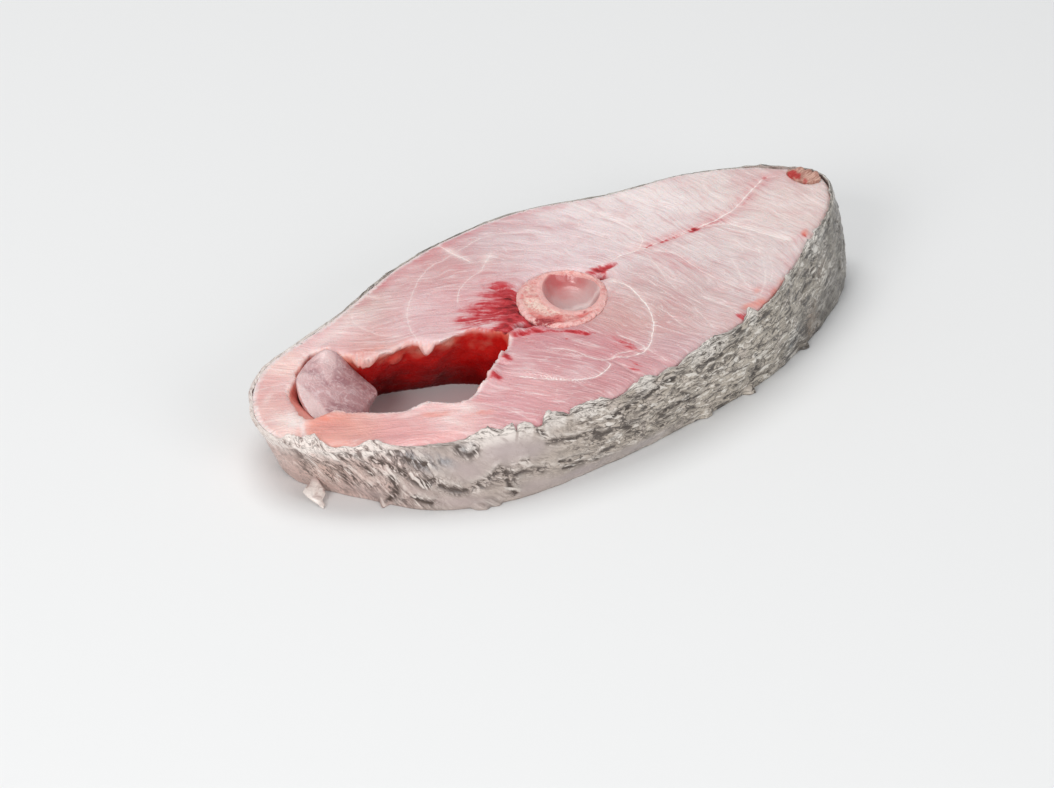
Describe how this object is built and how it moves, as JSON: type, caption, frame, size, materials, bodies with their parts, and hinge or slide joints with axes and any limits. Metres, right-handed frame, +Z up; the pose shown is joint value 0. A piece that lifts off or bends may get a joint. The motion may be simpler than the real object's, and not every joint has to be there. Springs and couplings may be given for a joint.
{
  "type": "raw croaker steak",
  "caption": "Raw cross-cut fish steak lying on its cut face, with silvery skin round the flank, a cut backbone and an open belly cavity.",
  "frame": {"origin": "middle of the base, on the lower cut face", "axes": "+X towards the back of the fish, +Y towards the far flank, +Z up through the slice"},
  "size_m": [0.2142, 0.0994, 0.0283],
  "materials": {
    "flesh": "wet raw fish flesh, pale pink with white seams",
    "skin": "scaled skin, silver grey to olive grey, damp",
    "bone": "cut bone, cream and pink",
    "belly_fat": "pale pink-grey belly tissue, damp",
    "fin_root": "brown cut fin ray root"
  },
  "bodies": {
    "root": {"flesh": "flesh", "skin": "skin", "backbone": "bone", "belly_lump": "belly_fat", "fin_root": "fin_root"}
  },
  "joints": []
}
